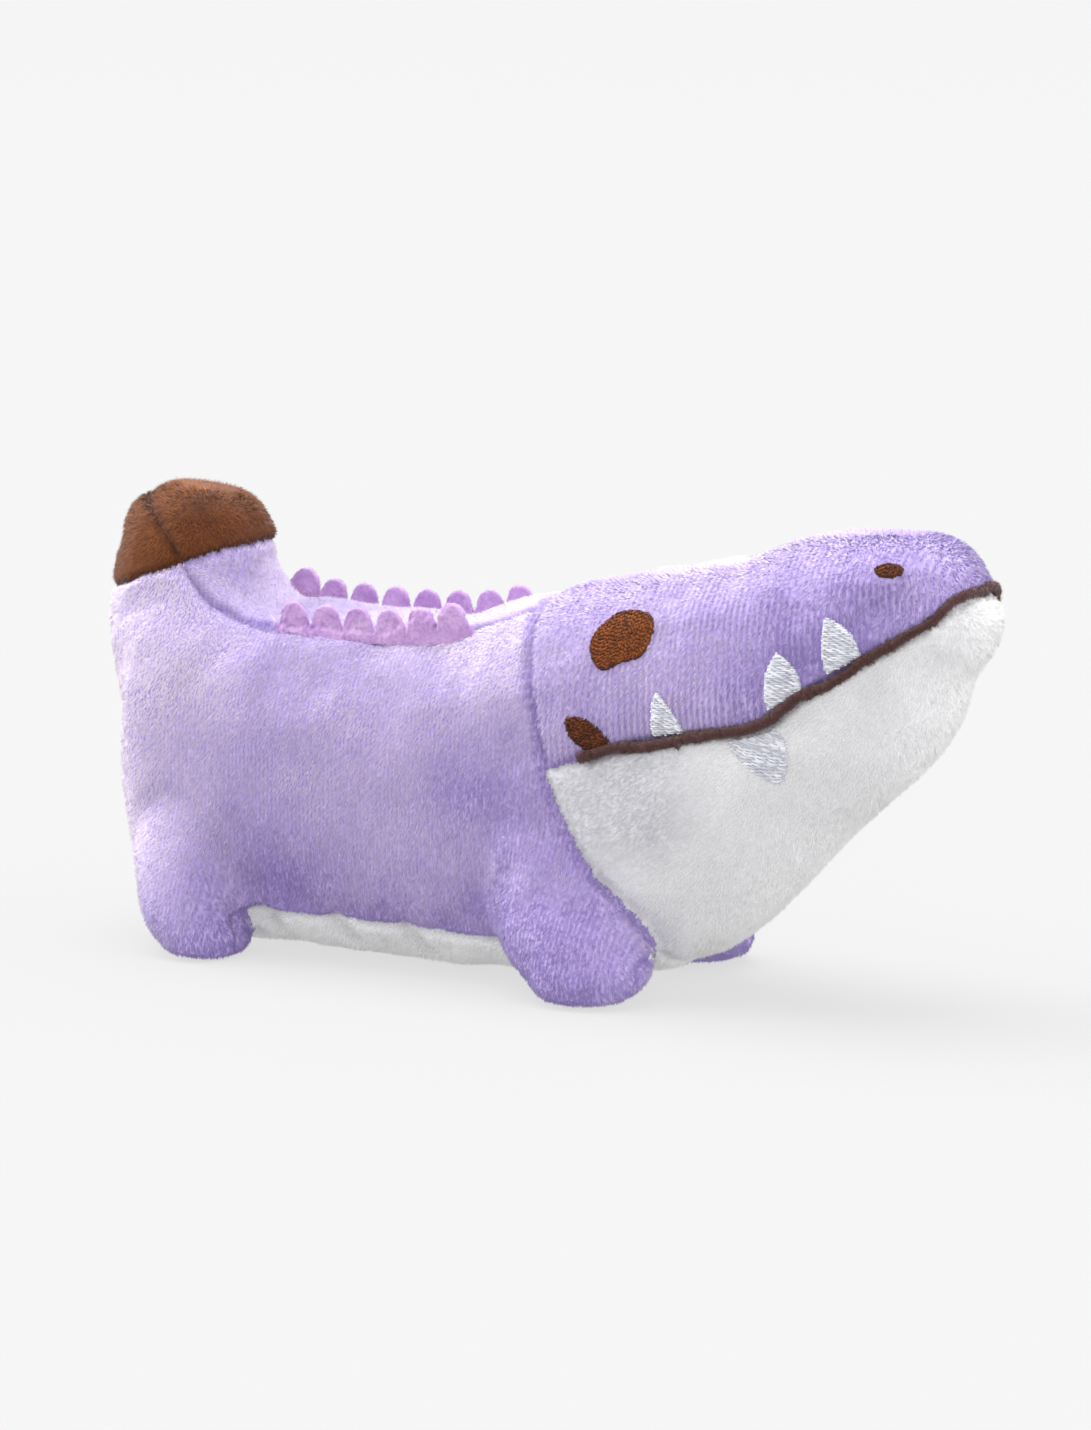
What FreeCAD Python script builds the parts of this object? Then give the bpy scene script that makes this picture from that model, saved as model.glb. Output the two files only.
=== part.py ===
import FreeCAD, Part
import math
import os
from FreeCAD import Placement, Rotation, Vector

# A stuffed toy crocodile-dinosaur, standing on four stub legs. +X points to the snout, +Y to the
# toy's left and +Z up; the origin is the bottom centre of the toy's box. Every length is in mm.
#
# The toy is a sewn sack of short-pile cloth filled with polyester fibre. Its outer surface is one
# solid lofted through rib sections that fan from the tail tip, round the rump and along to the
# snout, with four lofted legs fused on. The cloth skin is that solid less the same solid made
# smaller, and each cloth panel is the stretch of skin between its seams.

doc = FreeCAD.newDocument("stuffed_dinosaur")

# ---------------------------------------------------------------- driving dimensions
sheet = doc.addObject("Spreadsheet::Sheet", "dimensions")
DIMENSIONS = [
    ("skin_thickness", 1.5),        # cloth with its pile
    ("embroidery_height", 0.6),     # thread standing proud of the cloth
    ("piping_height", 1.0),         # mouth piping, standing proud
    ("piping_width", 2.4),
    ("felt_thickness", 1.2),
    ("petal_height", 6.0),
    ("petals_right", 6),
    ("petals_left", 8),
    ("petal_width", 7.5),
    ("petal_notch", 0.4),           # height of the notches between petals
    ("trim_end", -10.0),            # X of the head end of both strips
    ("trim_offset", 13.2),          # Y of each strip's inner face
    ("belly_seam_height", 8.6),
    ("leg_seam_offset", 22.4),      # Y of the seam down the front and rear of each leg
    ("tip_seam_x", -69.3),          # the brown tip's lower seam passes through this point
    ("tip_seam_height", 80.0),
    ("tip_seam_slope", 18.0),       # and drops to the rear at this angle, degrees
    ("foot_offset", 23.3),          # Y of each foot's middle
    ("foot_front_x", 20.9),
    ("foot_rear_x", -62.3),
    ("thread_width", 0.5),          # sewing thread, sunk as deep into the pile
    ("quilt_rows", 3),
    ("quilt_start", -46.0),         # X of the rear row of belly quilting, at the middle
    ("quilt_pitch", 16.8),
    ("quilt_slant", 30.0),          # degrees
    ("quilt_reach", 30.0),          # how far a row reaches to each side before it is trimmed
    ("closing_stitches", 9),
    ("closing_start", -34.0),       # X of the first stitch of the closing seam
    ("closing_pitch", 3.2),
    ("closing_reach", 13.0),        # the same for a closing stitch
    ("stitch_length", 2.4),
    ("leg_clearance", 0.05),        # a cutting zone stands this far outside the leg that it takes
    ("zone_reach", 40.0),           # how far the cutting prisms reach to each side
    ("zone_end", 130.0),            # X that every zone ends beyond, both ways
    ("zone_top", 115.0),            # Z that every zone ends at or beyond
    ("zone_floor", -12.0),          # Z that every zone starts at or below
    ("tail_fibre_front", -62.0),    # X and Z where the tail's fibre meets the torso's
    ("tail_fibre_bottom", 68.0),
    ("section_points", 24),         # points round each rib section
]
for row, (alias, value) in enumerate(DIMENSIONS, start=1):
    sheet.set(f"A{row}", alias)
    sheet.set(f"B{row}", str(value))
    sheet.setAlias(f"B{row}", alias)
doc.recompute()


def size(alias):
    """The value of one cell of the sheet."""
    return float(getattr(sheet, alias))


# ---------------------------------------------------------------- the toy's outline
# One rib section for each row: the point on the back and the point on the keel, both as X, Z on
# the middle plane; how far from back to keel the section is widest; its half width; and how
# square its back half and its keel half are (2 is an ellipse).
SECTIONS = [
    ((-67.9, 80.6), (-96.9, 80.6), 0.50, 16.4, 2.5, 2.4),    # tail
    ((-68.1, 76.6), (-98.3, 76.6), 0.50, 16.9, 2.5, 2.4),
    ((-66.1, 71.2), (-98.1, 58.0), 0.55, 20.0, 2.6, 2.4),
    ((-63.7, 69.4), (-93.8, 36.0), 0.58, 22.0, 2.8, 2.4),    # rump
    ((-60.9, 69.2), (-91.3, 15.0), 0.58, 22.6, 3.0, 2.5),
    ((-57.5, 69.2), (-82.5, 2.6), 0.52, 22.8, 3.0, 2.8),
    ((-49.5, 69.2), (-59.5, 0.4), 0.50, 22.8, 3.0, 3.0),     # back and belly
    ((-25.5, 69.0), (-25.5, 0.4), 0.50, 22.4, 3.0, 3.0),
    ((-11.5, 71.4), (-3.5, 0.4), 0.50, 22.2, 3.0, 3.0),      # neck and chest
    ((3.5, 76.4), (17.5, 1.4), 0.50, 22.0, 2.9, 2.6),
    ((19.5, 80.6), (39.5, 8.2), 0.50, 21.4, 2.8, 2.3),       # head
    ((36.5, 84.6), (59.5, 24.6), 0.48, 20.4, 2.7, 2.2),
    ((52.5, 89.2), (76.1, 40.8), 0.48, 19.2, 2.6, 2.2),
    ((64.5, 92.4), (86.9, 55.0), 0.48, 17.4, 2.5, 2.2),
    ((78.0, 93.4), (90.7, 66.8), 0.48, 15.6, 2.4, 2.2),      # snout
]
TAIL_TIP = (-84.0, 92.2)
SNOUT_TIP = (95.2, 83.6)
DOME_ANGLES = (28.0, 50.0, 68.0, 84.0)    # where the sections of a rounded end stand, degrees

# Each leg as rings: height, half length along X, half width along Y, shift along X from the
# foot's middle, shift along Y towards the toy's middle.
FRONT_LEG = [
    (0.0, 5.5, 5.5, 0.0, 0.0),
    (0.7, 8.6, 8.4, -0.3, 0.3),
    (3.0, 12.2, 11.4, -0.8, 1.5),
    (8.0, 15.4, 12.6, -3.0, 3.7),
    (16.0, 16.9, 12.4, -8.2, 6.7),
    (26.0, 15.8, 11.2, -13.2, 9.6),
    (38.0, 13.0, 9.6, -15.6, 12.4),
]
REAR_LEG = [
    (0.0, 5.0, 5.5, -1.6, 0.0),
    (0.7, 7.2, 8.2, -3.4, 0.4),
    (3.0, 9.4, 11.4, -5.6, 1.5),
    (8.0, 11.2, 12.6, -8.4, 3.7),
    (16.0, 12.6, 12.4, -10.5, 6.7),
    (26.0, 13.0, 11.2, -11.2, 9.6),
    (38.0, 12.0, 9.6, -12.0, 12.4),
]

# The mouth line, the neck seam and the seam down the chest, as X, Z seen from the side.
MOUTH_LINE = [(10.1, 44.6), (17.4, 46.7), (31.5, 51.6), (48.5, 54.7), (57.8, 57.1),
              (65.0, 62.9), (84.2, 74.6), (90.4, 79.0), (94.7, 83.2), (101.0, 86.0)]
NECK_SEAM = [(10.1, 44.6), (7.8, 54.2), (5.0, 66.3), (1.0, 84.0)]
CHEST_SEAM = [(10.1, 44.6), (14.2, 35.2), (20.3, 26.4), (25.4, 21.0), (29.2, 14.6), (30.4, -2.0)]

# Each back seam, from over the tail tip down to the back and along to the neck, as X, Z.
BACK_SEAM = [(-96.0, 92.4), (-88.5, 89.2), (-83.6, 86.2), (-80.0, 82.2), (-76.7, 77.6),
             (-72.6, 72.4), (-68.4, 69.0), (-63.2, 67.0), (-56.8, 66.4), (-40.0, 66.1),
             (-27.0, 66.4), (-16.0, 68.2), (-6.0, 71.4), (8.0, 76.2)]

# Embroidery outlines, as X, Z seen from the side.
EYE = [(23.0, 75.1), (28.0, 76.4), (31.9, 75.1), (32.2, 71.1), (30.7, 68.2), (26.9, 66.9),
       (22.4, 65.0), (19.7, 67.6), (19.5, 70.8)]
MOUTH_CORNER = [(16.0, 55.4), (18.8, 55.7), (22.7, 53.6), (24.7, 50.9), (20.6, 49.2),
                (17.6, 50.8), (15.7, 53.3)]
NOSTRIL = ((80.9, 88.0), 2.8, 1.2)    # centre, half length, half height
UPPER_TEETH = [
    [(34.0, 53.0), (33.9, 57.4), (35.1, 62.2), (38.5, 58.4), (41.2, 54.2)],
    [(58.6, 60.4), (58.0, 66.2), (59.9, 71.4), (63.2, 68.8), (65.4, 64.4)],
    [(70.5, 67.8), (69.2, 73.6), (69.9, 78.8), (73.8, 77.0), (77.0, 71.8)],
]
LOWER_TOOTH = [(49.9, 54.4), (52.6, 50.6), (56.5, 47.6), (60.6, 46.4), (62.4, 49.7),
               (62.0, 54.3), (59.0, 57.4)]


# ---------------------------------------------------------------- the lofted solids
def rib_points(section, inset):
    """Points round one rib section, moved inwards by inset all round."""
    (back_x, back_z), (keel_x, keel_z), waist, half_width, square_back, square_keel = section
    back, keel = Vector(back_x, 0, back_z), Vector(keel_x, 0, keel_z)
    along = (keel - back).normalize()
    centre = back + (keel - back) * waist
    to_back = back + along * inset - centre
    to_keel = keel - along * inset - centre
    points = []
    count = int(size("section_points"))
    for i in range(count):
        angle = 2 * math.pi * i / count
        c, s = math.cos(angle), math.sin(angle)
        reach, power = (to_back, square_back) if c >= 0 else (to_keel, square_keel)
        side = math.copysign(abs(s) ** (2 / power), s) * (half_width - inset)
        points.append(centre + reach * abs(c) ** (2 / power) + Vector(0, side, 0))
    return points


def rounded_end(section, tip):
    """Sections that close the body from its last full section to a rounded tip."""
    (back_x, back_z), (keel_x, keel_z), waist, half_width, square_back, square_keel = section
    back, keel = Vector(back_x, 0, back_z), Vector(keel_x, 0, keel_z)
    centre = back + (keel - back) * waist
    reach = Vector(tip[0], 0, tip[1]) - centre
    made = []
    for degrees in DOME_ANGLES:
        shrink, rise = math.cos(math.radians(degrees)), math.sin(math.radians(degrees))
        moved = centre + reach * rise
        near, far = moved + (back - centre) * shrink, moved + (keel - centre) * shrink
        made.append(((near.x, near.z), (far.x, far.z), waist, half_width * shrink,
                     square_back + (2 - square_back) * rise, square_keel + (2 - square_keel) * rise))
    return made


def pulled_in(tip, section, inset):
    """A tip moved towards the middle of the section behind it."""
    (back_x, back_z), (keel_x, keel_z), waist = section[:3]
    centre = Vector(back_x, 0, back_z) + Vector(keel_x - back_x, 0, keel_z - back_z) * waist
    end = Vector(tip[0], 0, tip[1])
    moved = end - (end - centre).normalize() * inset
    return moved.x, moved.z


def skinned_solid(rows):
    """A solid with one smooth surface through closed rows of points, and a flat cap at each end."""
    around, ribs = len(rows[0]), []
    for points in rows:
        rib = Part.BSplineCurve()
        rib.interpolate(Points=points, PeriodicFlag=True,
                        Parameters=[i / around for i in range(around + 1)])
        ribs.append(rib)
    steps = [i / (len(ribs) - 1) for i in range(len(ribs))]
    lines = []
    for column in zip(*(rib.getPoles() for rib in ribs)):
        line = Part.BSplineCurve()
        line.interpolate(Points=list(column), Parameters=steps)
        lines.append(line)
    rib, line = ribs[0], lines[0]
    surface = Part.BSplineSurface()
    surface.buildFromPolesMultsKnots(
        [list(poles) for poles in zip(*(one.getPoles() for one in lines))],
        line.getMultiplicities(), rib.getMultiplicities(), line.getKnots(), rib.getKnots(),
        False, True, line.Degree, rib.Degree)
    start, end = surface.bounds()[:2]
    caps = [Part.Face(Part.Wire(surface.uIso(at).toShape())) for at in (start, end)]
    shell = Part.makeShell([surface.toShape()] + caps)
    shell.sewShape()
    return Part.makeSolid(shell)


def body_solid(inset):
    """Tail, torso and head as one solid, smaller by inset all round, larger where it is negative."""
    first, last = SECTIONS[0], SECTIONS[-1]
    stack = list(reversed(rounded_end(first, pulled_in(TAIL_TIP, first, inset))))
    stack += SECTIONS + rounded_end(last, pulled_in(SNOUT_TIP, last, inset))
    return skinned_solid([rib_points(section, min(inset, section[3] / 2)) for section in stack])


def leg_solid(rings, foot_x, side, inset):
    """One leg, from its flat sole up into the body. side is -1 for the right and 1 for the left."""
    top, count = rings[-1][0], int(size("section_points"))
    rows = []
    for height, half_x, half_y, shift_x, shift_y in rings:
        middle = Vector(foot_x + shift_x, side * (size("foot_offset") - shift_y),
                        inset + height * (top - inset) / top)
        turns = [2 * math.pi * i / count for i in range(count)]
        rows.append([middle + Vector((half_x - inset) * math.cos(turn),
                                     (half_y - inset) * math.sin(turn), 0) for turn in turns])
    return skinned_solid(rows)


# ---------------------------------------------------------------- helpers for the document
PARTS = []    # the objects that are pieces of the toy, in the order of the files


def held(name, shape):
    """A construction solid that later objects use."""
    made = doc.addObject("Part::Feature", name)
    made.Shape = shape
    return made


def boolean(kind, name, base, tool):
    made = doc.addObject(f"Part::{kind}", name)
    made.Base, made.Tool = base, tool
    return made


def joined(name, members):
    made = doc.addObject("Part::MultiFuse", name)
    made.Shapes = members
    return made


def piece(made, label):
    """Marks an object as a piece of the toy, under its own name."""
    made.Label = label
    made.Placement = Placement(Vector(0, 0, 0), Rotation())
    PARTS.append(made)
    return made


def spline(points, y=0.0):
    curve = Part.BSplineCurve()
    curve.interpolate([Vector(x, y, z) for x, z in points])
    return curve.toShape()


def polyline(points, y=0.0):
    return [Part.LineSegment(Vector(a[0], y, a[1]), Vector(b[0], y, b[1])).toShape()
            for a, b in zip(points, points[1:])]


def prism(name, edges):
    """A closed outline seen from the side, made into a solid that reaches past both sides."""
    outline = held(f"{name}_outline", Part.Face(Part.Wire(Part.__sortEdges__(edges))))
    made = doc.addObject("Part::Extrusion", name)
    made.Base, made.Dir, made.Solid = outline, Vector(0, 1, 0), True
    made.setExpression("LengthFwd", "dimensions.zone_reach")
    made.setExpression("LengthRev", "dimensions.zone_reach")
    return made


def side_half(name, side, inner=0.0):
    """A box that holds everything further than inner to one side of the middle."""
    made = doc.addObject("Part::Box", name)
    made.setExpression("Length", "dimensions.zone_end * 2")
    made.setExpression("Width", "dimensions.zone_reach")
    made.setExpression("Height", "dimensions.zone_top - dimensions.zone_floor")
    made.Placement.Base = Vector(
        -size("zone_end"), inner if side > 0 else -inner - size("zone_reach"), size("zone_floor"))
    return made


# ---------------------------------------------------------------- forms that everything is cut from
skin, clearance = size("skin_thickness"), size("leg_clearance")
LEGS = [
    ("front_right", FRONT_LEG, "foot_front_x", -1),
    ("front_left", FRONT_LEG, "foot_front_x", 1),
    ("rear_right", REAR_LEG, "foot_rear_x", -1),
    ("rear_left", REAR_LEG, "foot_rear_x", 1),
]
outer_body = held("outer_body", body_solid(0.0))
inner_body = held("inner_body", body_solid(skin))
outer_legs, inner_legs, leg_zones = {}, {}, {}
for name, rings, foot_x, side in LEGS:
    outer_legs[name] = held(f"outer_leg_{name}", leg_solid(rings, size(foot_x), side, 0.0))
    inner_legs[name] = held(f"inner_leg_{name}", leg_solid(rings, size(foot_x), side, skin))
    leg_zones[name] = held(f"leg_zone_{name}", leg_solid(rings, size(foot_x), side, -clearance))
legs_zone = joined("legs_zone", list(leg_zones.values()))
outer_form = joined("outer_form", [outer_body] + list(outer_legs.values()))
inner_form = joined("inner_form", [inner_body] + list(inner_legs.values()))
skin_form = boolean("Cut", "skin_form", outer_form, inner_form)

# Zones seen from the side, bounded by the seams.
front, rear = size("zone_end"), -size("zone_end")
top, floor = size("zone_top"), size("zone_floor")
snout_height = MOUTH_LINE[-1][1]
head_zone = prism("head_zone", [spline(MOUTH_LINE), spline(NECK_SEAM)] + polyline(
    [MOUTH_LINE[-1], (front, snout_height), (front, top), (NECK_SEAM[-1][0], top), NECK_SEAM[-1]]))
chin_zone = prism("chin_zone", [spline(MOUTH_LINE), spline(CHEST_SEAM)] + polyline(
    [MOUTH_LINE[-1], (front, snout_height), (front, floor), (CHEST_SEAM[-1][0], floor),
     CHEST_SEAM[-1]]))
back_zone = prism("back_zone", [spline(BACK_SEAM)] + polyline(
    [BACK_SEAM[-1], (BACK_SEAM[-1][0], top), (rear, top), (rear, BACK_SEAM[0][1]), BACK_SEAM[0]]))


def tip_seam(x):
    """The point of the brown tip's lower seam at X, seen from the side."""
    slope = math.tan(math.radians(size("tip_seam_slope")))
    return x, size("tip_seam_height") + (x - size("tip_seam_x")) * slope


before_tail = size("tail_fibre_front")
tip_zone = prism("tip_zone", polyline(
    [tip_seam(before_tail), (before_tail, top), (rear, top), tip_seam(rear),
     tip_seam(before_tail)]))
seam_height = size("belly_seam_height")
low_zone = prism("low_zone", polyline(
    [(rear, floor), (rear, seam_height), (front, seam_height), (front, floor), (rear, floor)]))
front_zone = joined("front_zone", [head_zone, chin_zone])
halves = {-1: side_half("right_half", -1), 1: side_half("left_half", 1)}
SIDES = [("right", -1), ("left", 1)]

# ---------------------------------------------------------------- sewing thread, sunk in the pile
leg_seam = size("leg_seam_offset")
beyond_seams = joined("beyond_leg_seams", [side_half("beyond_right", -1, leg_seam),
                                           side_half("beyond_left", 1, leg_seam)])
leg_faces = boolean("Common", "leg_faces", legs_zone, beyond_seams)
low_inner = boolean("Cut", "low_inner_zone", low_zone, leg_faces)
low_skin = boolean("Common", "low_skin", skin_form, low_inner)
thread = size("thread_width")
shallow_body = held("shallow_body", body_solid(thread))
thread_layer = boolean("Cut", "thread_layer", outer_body, shallow_body)


def slab(name, length, width, height, middle, turn=0.0):
    """A box about its middle, turned about the vertical."""
    made = doc.addObject("Part::Box", name)
    made.Length, made.Width, made.Height = length, width, height
    turned = Rotation(Vector(0, 0, 1), turn)
    corner = turned.multVec(Vector(-length / 2, -width / 2, -height / 2))
    made.Placement = Placement(middle + corner, turned)
    return made


under_seam = seam_height - 0.2    # the quilting ends just short of the belly seam
quilt_slabs = [
    slab(f"quilt_slab_{row}", thread, 2 * size("quilt_reach"), under_seam - floor,
         Vector(size("quilt_start") + row * size("quilt_pitch"), 0, (under_seam + floor) / 2),
         -size("quilt_slant"))
    for row in range(int(size("quilt_rows")))]
quilting = boolean("Common", "quilting", thread_layer, joined("quilt_slabs", quilt_slabs))
piece(quilting, "belly_quilting_thread")
stitch_slabs = [
    slab(f"stitch_slab_{i}", thread, 2 * size("closing_reach"), size("stitch_length"),
         Vector(size("closing_start") + i * size("closing_pitch"), size("foot_offset"), seam_height))
    for i in range(int(size("closing_stitches")))]
closing = boolean("Common", "closing", thread_layer, joined("stitch_slabs", stitch_slabs))
piece(closing, "closing_stitches")

# ---------------------------------------------------------------- cloth panels
front_no_legs = boolean("Cut", "front_zone_clear_of_legs", front_zone, legs_zone)
not_side = joined("not_side", [low_inner, front_no_legs, back_zone, tip_zone])
for word, side in SIDES:
    half_skin = boolean("Common", f"skin_{word}", skin_form, halves[side])
    side_skin = boolean("Cut", f"side_{word}", half_skin, not_side)
    if side > 0:
        side_skin = boolean("Cut", "side_left_sewn", side_skin, closing)
    piece(side_skin, f"side_panel_{word}")
for name, leg_zone in leg_zones.items():
    piece(boolean("Common", f"lining_{name}", low_skin, leg_zone), f"leg_lining_{name}")

back_skin = boolean("Common", "back_skin", skin_form, back_zone)
tip_and_head = joined("tip_and_head_zones", [tip_zone, head_zone])
piece(boolean("Cut", "back", back_skin, tip_and_head), "back_panel")
piece(boolean("Common", "head", skin_form, head_zone), "head_panel")
chin_skin = boolean("Common", "chin_skin", skin_form, chin_zone)
piece(boolean("Cut", "chin", chin_skin, legs_zone), "chin_panel")
tip_skin = boolean("Common", "tip_skin", skin_form, tip_zone)
piece(boolean("Common", "tip_front", tip_skin, back_zone), "tail_tip_front")
tip_rear = boolean("Cut", "tip_rear", tip_skin, back_zone)
for word, side in SIDES:
    piece(boolean("Common", f"tip_{word}", tip_rear, halves[side]), f"tail_tip_{word}")

belly = boolean("Cut", "belly_behind_chin", low_skin, chin_zone)
for name, leg_zone in leg_zones.items():
    belly = boolean("Cut", f"belly_beside_{name}", belly, leg_zone)
belly = boolean("Cut", "belly_quilted", belly, quilting)
piece(boolean("Cut", "belly", belly, closing), "belly_panel")

# ---------------------------------------------------------------- mouth piping and embroidery
piping_body = held("piping_body", body_solid(-size("piping_height")))
piping_layer = boolean("Cut", "piping_layer", piping_body, outer_form)
thread_body = held("embroidery_body", body_solid(-size("embroidery_height")))
embroidery_layer = boolean("Cut", "embroidery_layer", thread_body, outer_form)


def offset_line(points, distance):
    """The line moved sideways by distance, point by point."""
    moved = []
    for i, (x, z) in enumerate(points):
        before, after = points[max(i - 1, 0)], points[min(i + 1, len(points) - 1)]
        dx, dz = after[0] - before[0], after[1] - before[1]
        reach = math.hypot(dx, dz)
        moved.append((x - dz / reach * distance, z + dx / reach * distance))
    return moved


half_piping = size("piping_width") / 2
piped = MOUTH_LINE[1:]
above, below = offset_line(piped, half_piping), offset_line(piped, -half_piping)
piping_zone = prism("piping_zone", [spline(above), spline(below)]
                    + polyline([above[0], below[0]]) + polyline([above[-1], below[-1]]))
piece(boolean("Common", "piping", piping_layer, piping_zone), "mouth_piping")


def loop(points):
    """A smooth closed outline through a few points."""
    curve = Part.BSplineCurve()
    curve.interpolate(Points=[Vector(x, 0, z) for x, z in points], PeriodicFlag=True)
    return curve.toShape()


def pointed(points, tip=None):
    """A smooth line through the points, with a corner at the tip, closed straight across its ends."""
    sides = [points] if tip is None else [points[:tip + 1], points[tip:]]
    return [spline(side) for side in sides] + polyline([points[-1], points[0]])


def nostril_loop():
    (x, z), half_length, half_height = NOSTRIL
    return Part.Ellipse(Vector(x + half_length, 0, z), Vector(x, 0, z + half_height),
                        Vector(x, 0, z)).toShape()


EMBROIDERY = [
    ("eye", [[loop(EYE)]]),
    ("mouth_corner", [[loop(MOUTH_CORNER)]]),
    ("nostril", [[nostril_loop()]]),
    ("upper_teeth", [pointed(tooth, 2) for tooth in UPPER_TEETH]),
    ("lower_tooth", [pointed(LOWER_TOOTH)]),
]
for word, outlines in EMBROIDERY:
    prisms = [prism(f"{word}_prism_{i}", edges) for i, edges in enumerate(outlines)]
    zone = joined(f"{word}_zone", prisms) if len(prisms) > 1 else prisms[0]
    stitched = boolean("Common", f"{word}_both", embroidery_layer, zone)
    trimmed = boolean("Cut", f"{word}_trimmed", stitched, piping_zone)
    for hand, side in SIDES:
        piece(boolean("Common", f"{word}_{hand}", trimmed, halves[side]), f"{word}_{hand}")

# ---------------------------------------------------------------- felt petal strips
seam = Part.BSplineCurve()
seam.interpolate([Vector(x, z, 0) for x, z in BACK_SEAM])
LOBE = [(0.10, 0.44), (0.24, 0.84), (0.50, 1.0), (0.76, 0.84), (0.90, 0.44)]    # share of width, height


def petal_strip(hand, count, inner_y):
    """A strip of felt petals, drawn from the side and padded to the felt's thickness."""
    width, height, notch = size("petal_width"), size("petal_height"), size("petal_notch")
    last = seam.parameter(Vector(size("trim_end"), 68.0, 0))
    where = [seam.parameterAtDistance(-width * i, last) for i in range(count + 1)]
    feet = [seam.value(at) for at in where]
    ups = [Vector(-seam.tangent(at)[0].y, seam.tangent(at)[0].x, 0) for at in where]
    body = doc.addObject("PartDesign::Body", f"petals_{hand}")
    sketch = body.newObject("Sketcher::SketchObject", f"petal_sketch_{hand}")
    plane = next(o for o in body.Origin.OriginFeatures if o.Role == "XZ_Plane")
    sketch.AttachmentSupport, sketch.MapMode = (plane, [""]), "FlatFace"
    for i in range(count):
        a, b, up_a, up_b = feet[i], feet[i + 1], ups[i], ups[i + 1]
        up = (up_a + up_b).normalize()
        lobe = Part.BSplineCurve()
        lobe.interpolate([a + up_a * notch]
                         + [a + (b - a) * along + up * height * rise for along, rise in LOBE]
                         + [b + up_b * notch])
        sketch.addGeometry(lobe)
        sketch.addGeometry(Part.LineSegment(a - up_a * 2, b - up_b * 2))
    for i in (0, count):
        sketch.addGeometry(Part.LineSegment(feet[i] + ups[i] * notch, feet[i] - ups[i] * 2))
    pad = body.newObject("PartDesign::Pad", f"petal_pad_{hand}")
    pad.Profile = sketch
    pad.setExpression("Length", "dimensions.felt_thickness")
    body.Placement.Base = Vector(0, inner_y, 0)
    return piece(boolean("Cut", f"strip_{hand}", body, outer_form), f"back_trim_{hand}")


petal_strip("right", int(size("petals_right")), -size("trim_offset"))
petal_strip("left", int(size("petals_left")), size("trim_offset") + size("felt_thickness"))

# ---------------------------------------------------------------- polyester fibre inside
tail_bottom = size("tail_fibre_bottom")
tail_fibre_zone = prism("tail_fibre_zone", polyline(
    [(rear, tail_bottom), (before_tail, tail_bottom), (before_tail, top), (rear, top),
     (rear, tail_bottom)]))
piece(boolean("Common", "fibre_head", inner_body, front_zone), "head_fibre")
piece(boolean("Common", "fibre_tail", inner_body, tail_fibre_zone), "tail_fibre")
not_torso = joined("not_torso", [front_zone, tail_fibre_zone])
piece(boolean("Cut", "fibre_torso", inner_body, not_torso), "torso_fibre")
for name, inner_leg in inner_legs.items():
    piece(boolean("Cut", f"fibre_{name}", inner_leg, inner_body), f"leg_fibre_{name}")

# ---------------------------------------------------------------- check and write
doc.recompute()
for one in doc.Objects:
    if {"Invalid", "Error"} & set(one.State):
        raise RuntimeError(f"{one.Name} failed: {one.State}")
for one in PARTS:
    if one.Shape.isNull() or not one.Shape.isValid() or not one.Shape.Solids:
        raise RuntimeError(f"{one.Label} has no valid solid")

os.makedirs("parts", exist_ok=True)
for one in PARTS:
    one.Shape.exportStep(f"parts/{one.Label}.step")
    box = one.Shape.BoundBox
    print(f"{one.Label:24s} {len(one.Shape.Solids):2d} solid {one.Shape.Volume:9.1f} mm3  "
          f"X {box.XMin:6.1f} {box.XMax:6.1f}  Y {box.YMin:6.1f} {box.YMax:6.1f}  "
          f"Z {box.ZMin:6.1f} {box.ZMax:6.1f}")
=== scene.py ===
"""Looks of a stuffed toy crocodile-dinosaur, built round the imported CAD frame. Lengths are in metres.

The cloth is made as one soft sack round the CAD panels and their fibre. It is stuffed by a cloth
simulation that is held at the seams, refined, creased along its seams and quilting, and then cut
into the CAD's panels, each a closed shell of cloth with its own pile. Piping, embroidery, petals
and sewing thread are laid on that finished skin.
"""
import math

import bpy
import numpy as np
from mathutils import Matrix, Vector
from mathutils.bvhtree import BVHTree
from mathutils.kdtree import KDTree


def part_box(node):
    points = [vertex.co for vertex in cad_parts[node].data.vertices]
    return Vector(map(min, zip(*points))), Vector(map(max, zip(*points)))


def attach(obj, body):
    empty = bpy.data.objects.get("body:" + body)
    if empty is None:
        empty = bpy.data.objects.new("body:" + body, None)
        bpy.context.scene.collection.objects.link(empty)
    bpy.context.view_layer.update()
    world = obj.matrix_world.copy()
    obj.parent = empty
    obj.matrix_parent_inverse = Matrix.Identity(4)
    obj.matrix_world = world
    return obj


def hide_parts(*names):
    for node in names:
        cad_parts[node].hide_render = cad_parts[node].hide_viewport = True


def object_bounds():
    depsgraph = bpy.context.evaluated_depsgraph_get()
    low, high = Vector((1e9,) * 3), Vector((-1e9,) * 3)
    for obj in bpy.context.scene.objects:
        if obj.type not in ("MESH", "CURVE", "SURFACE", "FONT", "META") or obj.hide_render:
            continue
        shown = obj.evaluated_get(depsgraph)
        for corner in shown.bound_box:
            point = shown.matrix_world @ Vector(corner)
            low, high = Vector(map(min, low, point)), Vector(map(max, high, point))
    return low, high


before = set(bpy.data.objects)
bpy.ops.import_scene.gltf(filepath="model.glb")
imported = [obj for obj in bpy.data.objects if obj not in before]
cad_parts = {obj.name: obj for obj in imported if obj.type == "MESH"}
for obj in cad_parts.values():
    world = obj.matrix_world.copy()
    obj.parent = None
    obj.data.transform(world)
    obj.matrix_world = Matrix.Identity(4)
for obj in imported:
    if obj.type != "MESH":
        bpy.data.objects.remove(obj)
CAD_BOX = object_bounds()
MM = 0.001
rng = np.random.default_rng(11)
scene = bpy.context.scene

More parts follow.
